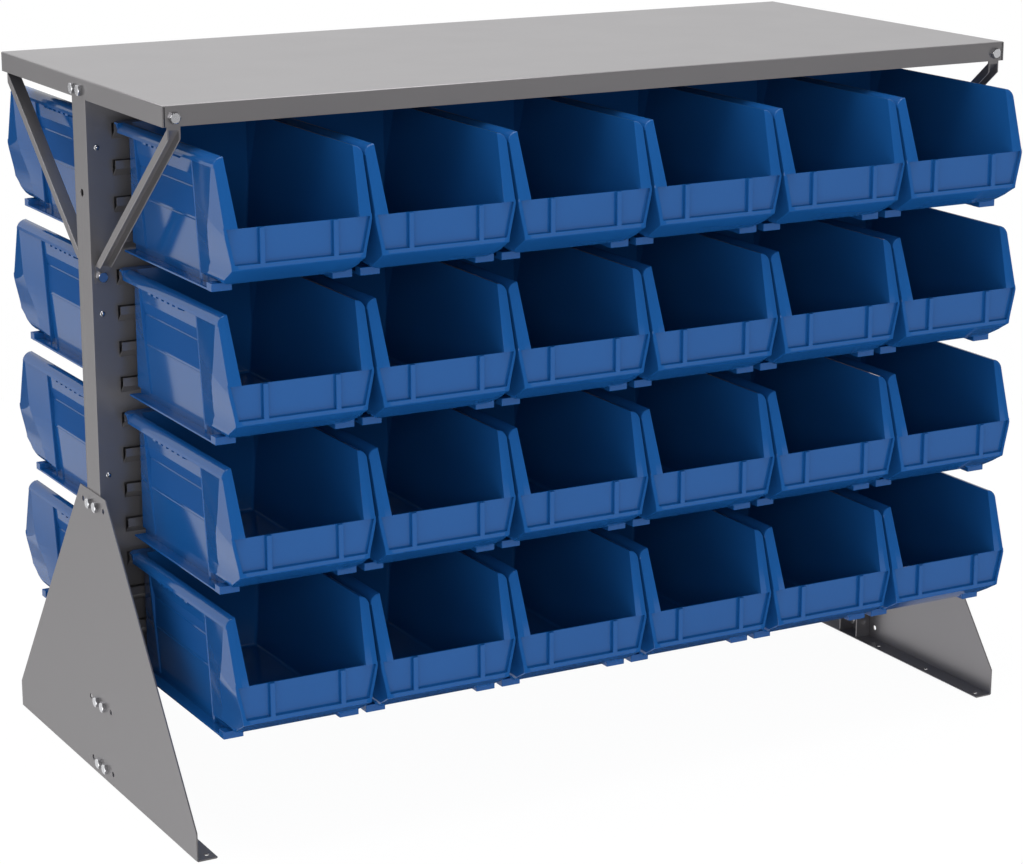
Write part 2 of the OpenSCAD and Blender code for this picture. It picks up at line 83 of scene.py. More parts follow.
def grain_group():
    """Fine grain for any finish: a roughness that wavers about a middle value, and a height."""
    group = bpy.data.node_groups.new("fine_grain", "ShaderNodeTree")
    face = group.interface
    for name, value in (("Size", 900.0), ("Roughness", 0.4), ("Waver", 0.1)):
        socket = face.new_socket(name, in_out="INPUT", socket_type="NodeSocketFloat")
        socket.default_value = value
    for name in ("Roughness", "Height", "Patches"):
        face.new_socket(name, in_out="OUTPUT", socket_type="NodeSocketFloat")
    node = group.nodes.new
    link = group.links.new
    inputs = node("NodeGroupInput")
    outputs = node("NodeGroupOutput")
    place = node("ShaderNodeTexCoord")
    grain = node("ShaderNodeTexNoise")
    grain.inputs["Detail"].default_value = grain_detail
    patches = node("ShaderNodeTexNoise")
    patches.inputs["Scale"].default_value = patch_size
    patches.inputs["Detail"].default_value = patch_detail
    middle = node("ShaderNodeMath")
    middle.operation = "SUBTRACT"
    middle.inputs[1].default_value = noise_middle
    waver = node("ShaderNodeMath")
    waver.operation = "MULTIPLY_ADD"
    link(place.outputs["Object"], grain.inputs["Vector"])
    link(place.outputs["Object"], patches.inputs["Vector"])
    link(inputs.outputs["Size"], grain.inputs["Scale"])
    link(patches.outputs["Fac"], middle.inputs[0])
    link(middle.outputs[0], waver.inputs[0])
    link(inputs.outputs["Waver"], waver.inputs[1])
    link(inputs.outputs["Roughness"], waver.inputs[2])
    link(waver.outputs[0], outputs.inputs["Roughness"])
    link(grain.outputs["Fac"], outputs.inputs["Height"])
    link(patches.outputs["Fac"], outputs.inputs["Patches"])
    return group


fine_grain = grain_group()


def finish_material(name, dark, light, size, roughness, waver, bump):
    """A finish whose colour drifts between two tones, with fine grain in its gloss and surface."""
    material = bpy.data.materials.new(name)
    material.use_nodes = True
    node = material.node_tree.nodes.new
    link = material.node_tree.links.new
    shader = material.node_tree.nodes["Principled BSDF"]
    grain = node("ShaderNodeGroup")
    grain.node_tree = fine_grain
    grain.inputs["Size"].default_value = size
    grain.inputs["Roughness"].default_value = roughness
    grain.inputs["Waver"].default_value = waver
    tone = node("ShaderNodeMix")
    tone.data_type = "RGBA"
    tone.inputs["A"].default_value = dark
    tone.inputs["B"].default_value = light
    surface = node("ShaderNodeBump")
    surface.inputs["Strength"].default_value = bump
    surface.inputs["Distance"].default_value = grain_depth
    link(grain.outputs["Patches"], tone.inputs["Factor"])
    link(tone.outputs["Result"], shader.inputs["Base Color"])
    link(grain.outputs["Roughness"], shader.inputs["Roughness"])
    link(grain.outputs["Height"], surface.inputs["Height"])
    link(surface.outputs["Normal"], shader.inputs["Normal"])
    return material, shader


enamel, enamel_shader = finish_material(
    "grey_enamel", enamel_dark, enamel_light, size=1400, roughness=0.36, waver=0.08, bump=0.12)
enamel_shader.inputs["Metallic"].default_value = 0.72
enamel_shader.inputs["IOR"].default_value = 1.6


def middle_of(edge):
    """The point halfway along an edge."""
    return (edge.verts[0].co + edge.verts[1].co) / 2


def round_edges(solid, edges, radius, steps):
    """Rounds edges, and shades only the new faces smooth."""
    made = bmesh.ops.bevel(
        solid, geom=edges, offset=radius, offset_type="OFFSET", affect="EDGES",
        segments=steps, profile=0.5, material=-1, clamp_overlap=True)
    for face in made["faces"]:
        face.smooth = True


def new_piece(name, mesh, material, body, slot, *nodes):
    """Puts a finished mesh in the scene in place of its CAD nodes."""
    mesh.materials.append(material)
    piece = bpy.data.objects.new(name, mesh)
    bpy.context.scene.collection.objects.link(piece)
    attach(piece, body)
    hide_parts(*nodes)
    return piece


def folded_sheet(node, is_fold):
    """A copy of a sheet-metal node with its outer folds rounded as a press leaves them."""
    sheet = bmesh.new()
    sheet.from_mesh(frame["nodes"][node].data)
    bmesh.ops.remove_doubles(sheet, verts=sheet.verts, dist=weld)
    bmesh.ops.dissolve_limit(sheet, angle_limit=flat_angle, verts=sheet.verts, edges=sheet.edges)
    for face in sheet.faces:
        face.smooth = False
    folds = [e for e in sheet.edges if e.is_convex and e.calc_length() > long_fold and is_fold(e)]
    round_edges(sheet, folds, fold_radius, fold_steps)
    mesh = bpy.data.meshes.new(node + "_sheet")
    sheet.to_mesh(mesh)
    sheet.free()
    return new_piece(node + "_sheet", mesh, enamel, "rack", "grey_enamel", node)


def runs_along(edge, axis):
    """Whether an edge runs along one axis of the frame."""
    run = edge.verts[1].co - edge.verts[0].co
    return abs(run.normalized()[axis]) > parallel


upright_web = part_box("upright_right")[1].x
for node in ("upright_left", "upright_right"):
    folded_sheet(node, lambda e: runs_along(e, 2) and abs(abs(middle_of(e).x) - upright_web) < hair)


# Legs
# Two tapered steel plates bolted outside the uprights, each with its foot turned in along the floor.
# They are cut and folded from one sheet, drilled for floor anchors, and enamelled like the rest.
for node in ("leg_left", "leg_right"):
    folded_sheet(node, lambda e: runs_along(e, 1) and middle_of(e).z < hair)


# Louver panels
# Two pressed steel sheets, front and back, with rows of louvers that the bins hook on.
# Domed screws hold each panel to the flanges of both uprights.
for node in ("louver_panel_front", "louver_panel_back"):
    panel = frame["nodes"][node]
    panel.data.materials.clear()
    panel.data.materials.append(enamel)


# Braces
# Four bent steel channels that run from the uprights out to the worktop's skirt.
# Their ends are flattened into tabs, and one bolt holds each tab.
brace_inner_y = 0.1

for node in ("braces_left", "braces_right"):
    folded_sheet(node, lambda e: abs(middle_of(e).y) > brace_inner_y and not runs_along(e, 0))


# Worktop
# One steel sheet folded down on four sides, with an open seam at each corner of its skirt.
# It lies on the uprights' ends, and bolts through the skirt hold it to them and to the braces.
worktop_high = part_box("worktop")[1]
folded_sheet("worktop", lambda e: middle_of(e).z > worktop_high.z - hair)


# Hexagon bolts
# Zinc-plated steel bolts with chamfered hexagon heads, in pairs through the legs and the worktop's
# ends and one by one through the brace tabs, each with a nut behind the sheet.
zinc_dark = (0.62, 0.63, 0.66, 1)
zinc_light = (0.80, 0.80, 0.82, 1)
head_sides = 6
head_points = 48
head_flats = 0.014
head_height = 0.0055
head_chamfer = 0.0011
flat_share = 0.25
shank_diameter = 0.008
shank_points = 24
shank_reach = 0.0125
shank_lap = 0.0005
bolt_spread = 0.0127
skirt_bolt_z = worktop_high.z - 0.0165
leg_bolt_zs = (0.0195, 0.114, 0.412)
brace_x = worktop_high.x - 0.016
brace_low_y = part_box("louver_panel_back")[0].y + 0.0035
brace_low_z = skirt_bolt_z - 0.2565

zinc, zinc_shader = finish_material(
    "bright_zinc", zinc_dark, zinc_light, size=2500, roughness=0.24, waver=0.2, bump=0.1)
zinc_shader.inputs["Metallic"].default_value = 1.0


def bolt_head():
    """A hexagon head on the plane Z = 0 with its shank below, its top turned off to a chamfer."""
    bolt = bmesh.new()
    ring = bmesh.ops.create_circle(bolt, segments=head_points, radius=head_flats / 2)["verts"]
    side = math.tau / head_sides
    for v in ring:
        turn = math.atan2(v.co.y, v.co.x) % side - side / 2
        v.co *= 1 / math.cos(turn)
    edges = list({e for v in ring for e in v.link_edges})
    up = bmesh.ops.extrude_edge_only(bolt, edges=edges)["geom"]
    upper = [v for v in up if isinstance(v, bmesh.types.BMVert)]
    corner = head_flats / 2 / math.cos(side / 2)
    for v in upper:
        past_flat = (v.co.length - head_flats / 2) / (corner - head_flats / 2)
        v.co.z = head_height - head_chamfer * (flat_share + (1 - flat_share) * past_flat)
    edges = [e for e in up if isinstance(e, bmesh.types.BMEdge)]
    top = bmesh.ops.extrude_edge_only(bolt, edges=edges)["geom"]
    for v in (g for g in top if isinstance(g, bmesh.types.BMVert)):
        v.co.xy = v.co.xy.normalized() * (head_flats / 2 - head_chamfer / 2)
        v.co.z = head_height
    bmesh.ops.contextual_create(bolt, geom=[e for e in top if isinstance(e, bmesh.types.BMEdge)])
    bmesh.ops.contextual_create(bolt, geom=[e for e in bolt.edges if e.is_boundary])
    shank = bmesh.ops.create_cone(
        bolt, cap_ends=True, segments=shank_points,
        radius1=shank_diameter / 2, radius2=shank_diameter / 2, depth=shank_reach,
        matrix=Matrix.Translation((0, 0, shank_lap - shank_reach / 2)))
    bmesh.ops.recalc_face_normals(bolt, faces=bolt.faces)
    shank_verts = set(shank["verts"])
    for face in bolt.faces:
        face.smooth = set(face.verts) <= shank_verts and len(face.verts) == 4
    mesh = bpy.data.meshes.new("bolt_head")
    bolt.to_mesh(mesh)
    bolt.free()
    return mesh


def placed_copies(name, pattern, places):
    """One mesh that holds a copy of the pattern at each place."""
    group = bmesh.new()
    for place in places:
        start = len(group.verts)
        group.from_mesh(pattern)
        group.verts.ensure_lookup_table()
        bmesh.ops.transform(group, matrix=place, verts=group.verts[start:])
    mesh = bpy.data.meshes.new(name)
    group.to_mesh(mesh)
    group.free()
    return mesh


def facing(point, outwards):
    """A place at a point, with its own Z turned outwards."""
    return Matrix.Translation(point) @ Vector(outwards).to_track_quat("Z", "Y").to_matrix().to_4x4()


bolt_places = []
for end in (-1, 1):
    for side in (-1, 1):
        for z in (*leg_bolt_zs, skirt_bolt_z):
            bolt_places.append(facing((end * worktop_high.x, side * bolt_spread, z), (end, 0, 0)))
        for y, z in ((worktop_high.y, skirt_bolt_z), (brace_low_y, brace_low_z)):
            bolt_places.append(facing((end * brace_x, side * y, z), (0, side, 0)))
new_piece("hex_bolts_zinc", placed_copies("hex_bolts_zinc", bolt_head(), bolt_places),
          zinc, "rack", "zinc", "hex_bolts")


# Nuts and panel screws
# Plain hexagon nuts behind every bolt, and domed screws along both ends of each louver panel.
# Both are zinc plated, and the screws cut their own threads in the uprights' flanges.
for node in ("hex_nuts", "panel_screws"):
    small_part = frame["nodes"][node]
    small_part.data.materials.clear()
    small_part.data.materials.append(zinc)


# Bins
# Forty-eight open-front bins, injection moulded in glossy blue plastic, each in one piece with a
# thick rim, a recessed panel in either side, a label panel in its low front and rails below.
# A lip behind the rim hooks over a louver, and its own weight holds the bin there.
plastic_dark = (0.0078, 0.074, 0.254, 1)
plastic_light = (0.0093, 0.084, 0.282, 1)
band_dark = (0.0075, 0.068, 0.240, 1)
band_light = (0.0090, 0.076, 0.262, 1)

# Sizes of the outer form and the hollow
bin_w = 0.20955
bin_l = 0.37465
bin_h = 0.1778
bin_wall = 0.003
rim_x = bin_w / 2
rim_z = bin_h - 0.0134
rear_x = rim_x - 0.0178
rear_y = 0.0182
rear_corner_y = rear_y + 0.040
rear_inset = 0.0105
under_z = 0.0098
floor_z = under_z + bin_wall
front_h = 0.089
front_lean = 0.0295
chin_h = 0.037
chin_l = 0.0465
chin_x = rim_x - 0.0115
corner_w = 0.0098
corner_l = 0.002
chin_corner_w = 0.008
chin_corner_l = 0.0015
hollow_floor_x = rim_x - 0.0246
hollow_rim_x = rim_x - 0.0143

# Sizes of the sides: rib, sunk panel with its matt band, flared front and its inward turn
side_x = rim_x - 0.0194
side_lean = 0.0750
side_reach = 0.006
rib_end = rear_corner_y + 0.003
rib_step = 0.001
panel_sink = 0.002
band_low = 0.085
band_deep = 0.127
band_high = 0.142
band_sink = 0.0026
band_slot = 1
flare_x = rim_x - 0.016
flare_y = bin_l - 0.1155
flare_step = 0.0008
flare_lean = 0.0542
# Heights, and the outward slope of the flared front at each
flare_slopes = (
    (0.010, 0.107), (0.037, 0.075), (0.070, 0.154),
    (0.089, 0.175), (0.120, 0.131), (0.164, 0.085))
toe_l = 0.052
toe_in = 0.0018
toe_edge = 0.0030
toe_low = 0.060

# Sizes of the sunk panels in the front
label_sink = 0.0050
label_wall = 0.0025
label_x = 0.0478
divider_x = 0.0553
panel_low_x = chin_x - 0.0035
panel_high_x = rim_x - 0.0045
panel_foot = chin_h + 0.005
sill_h = 0.006
lip_clear = 0.001

# Sizes of the hanger, rails, feet, stand-off ribs, gussets and ridges
hang_x = rim_x - 0.0078
hang_y = rear_y + 0.002
hook_t = 0.00235
hook_low = bin_h - 0.012
hook_high = bin_h - 0.0012
wedge_y = 0.0105
wedge_low = bin_h - 0.0097
ledge_x = rim_x - 0.0048
ledge_t = 0.003
rail_x = rim_x - 0.0214
rail_inner_x = ledge_x - 0.0285
rail_end = bin_l - 0.0555
rail_short = 0.005
rail_into = under_z + 0.0007
foot_l = 0.016
standoff_x = 0.0485
standoff_t = 0.003
standoff_y = 0.0045
standoff_lap = 0.001
standoff_h = 0.036
gusset_count = 6
gusset_first = 0.1095
gusset_pitch = 0.0189
gusset_t = 0.0098
gusset_h = 0.0075
gusset_edge = 0.0030
gusset_set = 0.0008
gusset_root = 0.0010
ridge_zs = (0.081, 0.124)
ridge_low = 0.0012
ridge_high = 0.0034
ridge_proud = 0.0008
ridge_root = 0.0010
ridge_lap = 0.0007
ridge_back = 0.0009
ridge_front = 0.0031
ridge_foot = 0.0033
ridge_h = rim_z - 0.0025

# How edges are rounded
crease_reach = 0.014
crease_steps = 5
edge_radius = 0.0010
edge_steps = 2
lip_radius = 0.00045
rib_radius = 0.0008
hook_radius = 0.0005
rail_radius = 0.0006
foot_radius = 0.0007
hollow_radius = 0.004
hollow_steps = 4

# Reach of the cutting solids, small laps between solids, and what counts as sharp or flat
beyond = 0.05
skin = 0.0001
cut_low = -0.01
cut_inner = 0.08
cut_outer = 0.14
cut_past = 0.01
cut_clear = 0.005
cut_pitch = 0.012
cut_columns = 8
cut_rows = 14
on_plane = 1e-7
moulding_weld = 2e-5
solid_sharp = 0.45
moulding_sharp = 0.7
side_normal = 0.9
side_crease = 0.05
straight = 0.02
crease = 0.6

plastic, plastic_shader = finish_material(
    "blue_plastic", plastic_dark, plastic_light, size=700, roughness=0.10, waver=0.04, bump=0.04)
plastic_shader.inputs["IOR"].default_value = 1.37
band_plastic, band_shader = finish_material(
    "blue_plastic_matt", band_dark, band_light, size=1600, roughness=0.7, waver=0.08, bump=0.35)
band_shader.inputs["Specular IOR Level"].default_value = 0.05


def prism(outline, push):
    """A solid made from a flat outline of points in space, pushed along a vector."""
    solid = bmesh.new()
    face = solid.faces.new([solid.verts.new(point) for point in outline])
    pushed = bmesh.ops.extrude_face_region(solid, geom=[face])["geom"]
    moved = [g for g in pushed if isinstance(g, bmesh.types.BMVert)]
    bmesh.ops.translate(solid, verts=moved, vec=push)
    bmesh.ops.recalc_face_normals(solid, faces=solid.faces)
    return solid


def slice_off(solid, point, outwards):
    """Takes off what lies beyond a plane and closes the cut."""
    found = bmesh.ops.bisect_plane(
        solid, geom=solid.verts[:] + solid.edges[:] + solid.faces[:], dist=on_plane,
        plane_co=point, plane_no=outwards, clear_outer=True)["geom_cut"]
    bmesh.ops.contextual_create(solid, geom=[g for g in found if isinstance(g, bmesh.types.BMEdge)])
    bmesh.ops.recalc_face_normals(solid, faces=solid.faces)


def sharp_edges(solid, angle=solid_sharp):
    """The edges where a solid turns by more than an angle."""
    return [e for e in solid.edges if e.is_manifold and e.calc_face_angle() > angle]


def bin_walls():
    """The outer form of a bin, bevelled down its front corners."""
    half = [(chin_x, under_z), (chin_x, chin_h), (rim_x, front_h), (rim_x, bin_h)]
    outline = half + [(-x, z) for x, z in reversed(half)]
    walls = prism([(x, rear_y, z) for x, z in outline], (0, bin_l - rear_y, 0))
    creases = [e for e in walls.edges if runs_along(e, 1) and under_z < middle_of(e).z < bin_h]
    round_edges(walls, creases, crease_reach, crease_steps)
    slice_off(walls, (0, bin_l, chin_h), (0, chin_h - under_z, -chin_l))
    slice_off(walls, (0, bin_l, front_h), (0, bin_h - front_h, front_lean))
    lean = math.atan2(front_lean, bin_h - front_h)
    taper = math.atan2(rim_x - chin_x, front_h - chin_h)
    for side in (-1, 1):
        corner = Vector((side * rim_x, bin_l, front_h))
        slice_off(walls, corner - Vector((side * corner_w, 0, 0)),
                  (side * corner_l, corner_w * math.cos(lean), corner_w * math.sin(lean)))
        slice_off(walls, corner - Vector((side * chin_corner_w, 0, 0)) / math.cos(taper),
                  (side * chin_corner_l * math.cos(taper), chin_corner_w,
                   -chin_corner_l * math.sin(taper)))
    round_edges(walls, sharp_edges(walls), edge_radius, edge_steps)
    return walls


def bin_hollow():
    """The room inside a bin, which opens upwards and over the low front wall."""
    slope = (chin_h - under_z) / chin_l
    front_wall = label_sink + label_wall
    chin_z = chin_h + bin_wall * math.sqrt(1 + slope * slope) - front_wall * slope
    back = rear_y + bin_wall
    inner = bin_l - front_wall
    outline = [
        (back, floor_z), (inner - (chin_z - floor_z) / slope, floor_z), (inner, chin_z),
        (inner, front_h), (bin_l + beyond, front_h), (bin_l + beyond, bin_h + beyond),
        (back, bin_h + beyond)]
    hollow = prism([(-rim_x, y, z) for y, z in outline], (bin_w, 0, 0))
    lean = (hollow_rim_x - hollow_floor_x) / (bin_h - floor_z)
    for side in (-1, 1):
        slice_off(hollow, (side * hollow_floor_x, 0, floor_z), (side, 0, -lean))
        slice_off(hollow, (side * (rear_x - bin_wall), back, 0),
                  (side * (rear_corner_y - back), -rear_inset, 0))
    rounded = [
        e for e in sharp_edges(hollow)
        if (max(v.co.z for v in e.verts) < front_h + hair
            and max(v.co.y for v in e.verts) < inner + hair
            and min(v.co.z for v in e.verts) < front_h - hair)]
    round_edges(hollow, rounded, hollow_radius, hollow_steps)
    return hollow


def side_face(y, z):
    """How far out a bin's side stands, below its rim: rear corner, rib, sunk panel, flared front."""
    wall = side_x + side_lean * (z - ledge_t)
    y -= hair
    if y <= rear_corner_y:
        share = max(0.0, (y - rear_y) / (rear_corner_y - rear_y))
        return rear_x + share * (wall - rear_x)
    if y <= rib_end:
        return wall
    if y <= flare_y - flare_step:
        groove = max(0.0, min((z - band_low) / (band_deep - band_low),
                              (band_high - z) / (band_high - band_deep)))
        return wall - panel_sink - band_sink * groove
    slope = flare_slopes[0][1]
    for (low, low_slope), (high, high_slope) in zip(flare_slopes, flare_slopes[1:]):
        share = min(1.0, max(0.0, (z - low) / (high - low)))
        slope += share * (high_slope - low_slope)
    return flare_x + flare_lean * (z - ledge_t) + slope * max(0.0, y - flare_y)


def bin_side_cut():
    """What one side of a bin loses below its rim."""
    end = bin_l + cut_past
    outline = [(0, cut_low), (end, cut_low), (end, rim_z), (0, rim_z)]
    cut = prism([(cut_inner, y, z) for y, z in outline], (cut_outer - cut_inner, 0, 0))
    ys = (rear_y, rear_corner_y, rib_end, rib_end + rib_step, flare_y - flare_step, flare_y,
          *(flare_y + cut_pitch * column for column in range(1, cut_columns)))
    zs = (ledge_t, band_low, band_deep, band_high, *(cut_pitch * row for row in range(1, cut_rows)))
    for axis, places in ((1, ys), (2, zs)):
        for place in places:
            point = Vector((0, 0, 0))
            point[axis] = place
            along = Vector((0, 0, 0))
            along[axis] = 1
            bmesh.ops.bisect_plane(
                cut, geom=cut.verts[:] + cut.edges[:] + cut.faces[:], dist=on_plane,
                plane_co=point, plane_no=along)
    for v in cut.verts:
        if v.co.x < (cut_inner + cut_outer) / 2:
            v.co.x = min(cut_outer - cut_clear, side_face(v.co.y, v.co.z))
    bmesh.ops.triangulate(cut, faces=cut.faces)
    return cut


def bin_toe_cut():
    """What one side of a bin loses where it turns in towards the front, behind its front edge."""
    start, end = bin_l - toe_l, bin_l - toe_edge
    outer = rim_x + toe_edge
    outline = [(rim_x, start), (rim_x - toe_in, end), (outer, end), (outer, start)]
    return prism([(x, y, toe_low) for x, y in outline], (0, 0, rim_z - toe_low))


def box_between(low, high, radius=0.0):
    """A block between two corners, its edges rounded where a radius is given."""
    low, high = Vector(low), Vector(high)
    block = bmesh.new()
    bmesh.ops.create_cube(block, size=1)
    bmesh.ops.scale(block, vec=high - low, verts=block.verts)
    bmesh.ops.translate(block, vec=(low + high) / 2, verts=block.verts)
    if radius:
        round_edges(block, block.edges[:], radius, edge_steps)
    return block


def mirrored(solid):
    """A copy of a solid on the other side of X = 0."""
    other = solid.copy()
    bmesh.ops.scale(other, vec=(-1, 1, 1), verts=other.verts)
    bmesh.ops.reverse_faces(other, faces=other.faces)
    return other


def bin_additions():
    """A bin's hanger and its lip, rails and feet, stand-off ribs, gussets and side ridges."""
    hang_z = bin_h - skin
    half = [(hang_x, 0), (rim_x - skin, rear_y / 2), (rim_x - skin, hang_y)]
    outline = half + [(-x, y) for x, y in reversed(half)]
    plate = prism([(x, y, hang_z) for x, y in outline], (0, 0, -bin_wall))
    round_edges(plate, plate.edges[:], rail_radius, edge_steps)
    hook_x = hang_x - 3 * skin
    lip = box_between((-hook_x, skin, hook_low), (hook_x, hook_t, hook_high), hook_radius)
    wedge_x = rim_x - 4 * skin
    wedge_z = hang_z - 4 * skin
    wedge_end = hang_y - 3 * skin
    outline = [(wedge_y, wedge_z), (wedge_end, wedge_z), (wedge_end, wedge_low)]
    wedge = prism([(-wedge_x, y, z) for y, z in outline], (2 * wedge_x, 0, 0))
    section = [
        (rail_inner_x, 2 * skin), (ledge_x - 2 * skin, 2 * skin), (ledge_x - 2 * skin, ledge_t),
        (rail_x, ledge_t), (rail_x, rail_into), (rail_inner_x, rail_into)]
    rail = prism([(x, rear_y + 4 * skin, z) for x, z in section], (0, rail_end - rear_y - rail_short, 0))
    round_edges(rail, [e for e in sharp_edges(rail) if e.is_convex], rail_radius, edge_steps)
    foot = box_between((rail_inner_x - 3 * skin, rail_end - foot_l, 0),
                       (ledge_x, rail_end, rail_into + 4 * skin), foot_radius)
    rib = box_between((standoff_x, standoff_y, under_z + 3 * skin),
                      (standoff_x + standoff_t, rear_y + standoff_lap, standoff_h), rail_radius)
    gussets = []
    low_z = rim_z - gusset_h
    high_z = rim_z + gusset_root
    outer = rim_x - gusset_set
    for step in range(gusset_count):
        y = gusset_first + step * gusset_pitch
        inner = side_face(y, low_z) - gusset_root
        outline = [(inner, low_z), (inner, high_z), (outer, high_z), (outer, rim_z - gusset_edge)]
        gussets.append(prism([(x, y, z) for x, z in outline], (0, gusset_t, 0)))
    ridges = []
    for ridge_z in ridge_zs:
        face = side_face(flare_y / 2, ridge_z)
        outline = [(face - ridge_root, ridge_z - ridge_low), (face + ridge_proud, ridge_z),
                   (face - ridge_root, ridge_z + ridge_high)]
        ridges.append(prism([(x, rib_end - ridge_lap, z) for x, z in outline], (0, flare_y - rib_end, 0)))
    outline = [(flare_x - ridge_root, flare_y - ridge_back), (flare_x + ridge_proud, flare_y),
               (flare_x - ridge_root, flare_y + ridge_front)]
    ridges.append(prism([(x, y, ridge_foot) for x, y in outline], (flare_lean * ridge_h, 0, ridge_h)))
    right = [rail, foot, rib, *gussets, *ridges]
    return [plate, lip, wedge] + right + [mirrored(part) for part in right]


def bin_front_cuts():
    """The sunk label panel in a bin's front wall, and the sunk panel on either side of it."""
    sunk = bin_l - label_sink
    low = chin_h + sill_h
    high = front_h + lip_clear
    label = box_between((-label_x, sunk, low), (label_x, bin_l + beyond, high))
    outline = [(divider_x, low), (panel_low_x, low), (panel_high_x, high), (divider_x, high)]
    side = prism([(x, sunk, z) for x, z in outline], (0, label_sink + beyond, 0))
    return [label, side, mirrored(side)]


def combine(solid, steps):
    """A mesh made by taking other solids off a solid, or adding them to it, in turn."""
    scene = bpy.context.scene.collection.objects
    meshes = []

    def stand_in(source):
        mesh = bpy.data.meshes.new("stand_in")
        source.to_mesh(mesh)
        source.free()
        meshes.append(mesh)
        holder = bpy.data.objects.new("stand_in", mesh)
        scene.link(holder)
        return holder

    target = stand_in(solid)
    others = []
    for operation, other in steps:
        change = target.modifiers.new(operation, "BOOLEAN")
        change.operation = operation
        change.solver = "EXACT"
        change.object = stand_in(other)
        others.append(change.object)
    view = bpy.context.evaluated_depsgraph_get()
    result = bpy.data.meshes.new_from_object(target.evaluated_get(view))
    for holder in (target, *others):
        bpy.data.objects.remove(holder)
    for mesh in meshes:
        bpy.data.meshes.remove(mesh)
    return result


def is_lip(edge):
    """Whether an edge is one of a bin's inner rim edges or front lip edges."""
    ends = [v.co for v in edge.verts]
    low_z = min(end.z for end in ends)
    inside = low_z > front_h - hair and max(abs(end.x) for end in ends) < rim_x - bin_wall
    return inside and min(end.y for end in ends) > rear_y + bin_wall


def is_side_edge(edge):
    """Whether an edge is the foot of a bin's rim or of the rib behind its sunk panel."""
    ends = [v.co for v in edge.verts]
    outer_x = min(abs(end.x) for end in ends)
    rim_foot = max(abs(end.z - rim_z) for end in ends) < hair and outer_x > rim_x - hair
    rib = max(abs(end.y - rib_end) for end in ends) < skin and outer_x > hollow_rim_x - side_reach
    return (rim_foot or rib) and min(end.y for end in ends) > rear_corner_y


def is_rib(edge):
    """Whether an edge bounds one of the sunk panels in a bin's front, below the lip."""
    ends = [v.co for v in edge.verts]
    low_z = min(end.z for end in ends)
    return min(end.y for end in ends) > bin_l - hair and panel_foot < low_z < front_h - lip_clear


def bin_mesh():
    """One bin that opens towards +Y, with its hanger at Y = 0 and its rails on Z = 0."""
    side_cut = bin_side_cut()
    toe_cut = bin_toe_cut()
    steps = [("DIFFERENCE", side_cut), ("DIFFERENCE", mirrored(side_cut))]
    steps += [("DIFFERENCE", toe_cut), ("DIFFERENCE", mirrored(toe_cut))]
    steps += [("UNION", part) for part in bin_additions()]
    steps += [("DIFFERENCE", cut) for cut in bin_front_cuts()]
    steps.append(("DIFFERENCE", bin_hollow()))
    mesh = combine(bin_walls(), steps)
    moulding = bmesh.new()
    moulding.from_mesh(mesh)
    bmesh.ops.remove_doubles(moulding, verts=moulding.verts, dist=moulding_weld)
    bmesh.ops.dissolve_degenerate(moulding, edges=moulding.edges, dist=weld)
    for chosen, radius in ((is_lip, lip_radius), (is_rib, rib_radius), (is_side_edge, rib_radius)):
        edges = [e for e in sharp_edges(moulding, moulding_sharp) if e.is_convex and chosen(e)]
        round_edges(moulding, edges, radius, edge_steps)
    bmesh.ops.recalc_face_normals(moulding, faces=moulding.faces)
    for face in moulding.faces:
        middle = face.calc_center_median()
        if abs(face.normal.x) < side_normal:
            continue
        outside = face.normal.x * middle.x > 0
        if outside and band_low < middle.z < band_high and rear_corner_y < middle.y < flare_y:
            face.material_index = band_slot
        face.smooth = True
        for edge in face.edges:
            if edge.calc_face_angle(math.pi) > side_crease:
                edge.smooth = False
    for edge in moulding.edges:
        along = [abs(face.normal.y) < straight for face in edge.link_faces]
        across = [abs(face.normal.x) < straight for face in edge.link_faces]
        ends_along = any(along) and not all(along)
        ends_across = any(across) and not all(across) and not all(along)
        if ends_along or ends_across or edge.calc_face_angle(math.pi) > crease:
            edge.smooth = False
    moulding.to_mesh(mesh)
    moulding.free()
    return mesh


back_bin = bin_mesh()
front_bin = back_bin.copy()
front_bin.transform(Matrix.Diagonal((1, -1, 1, 1)))
front_bin.flip_normals()
for node in frame["nodes"]:
    if not node.startswith("bin_"):
        continue
    low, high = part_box(node)
    at_front = node.startswith("bin_front")
    mesh = (front_bin if at_front else back_bin).copy()
    lip_y = high.y if at_front else low.y
    mesh.transform(Matrix.Translation(((low.x + high.x) / 2, lip_y, low.z)))
    new_piece(node + "_moulding", mesh, plastic, node, "bin_plastic", node)
    mesh.materials.append(band_plastic)


# Studio
# A plain pale floor that glows a little, white surroundings, a broad soft light above and a weak one
# near the camera, which stands at the photograph's place. Glossy faces mirror a made-up room: bright
# to the left and overhead, dark straight behind and dim in front, with one bright patch on each side.
floor_reach = 30.0
floor_colour = (0.92, 0.92, 0.92, 1)
floor_roughness = 0.9
floor_glow = 0.36
shadow_depth = 0.05
shadow_near = 0.9
shadow_far = 2.2
white_colour = (1, 1, 1, 1)
sky_strength = 0.70
room_behind = 0.02
room_front = 0.06
room_left = 0.90
front_shine = 0.85
front_side = (0.53, -0.80, -0.28)
front_edge = 0.95
front_core = 0.98
edge_shine = 2.0
edge_side = (-0.95, 0.1, -0.3)
edge_from = 0.90
edge_full = 0.96
left_side = (-1.0, -0.525, -0.6)
left_from = -0.09
left_full = -0.05
horizon_blur = 0.02
front_from = -0.3
front_full = -0.1


def node_with(tree, kind, **values):
    """A new node with its named inputs set."""
    node = tree.nodes.new(kind)
    for name, value in values.items():
        node.inputs[name.replace("_", " ")].default_value = value
    return node


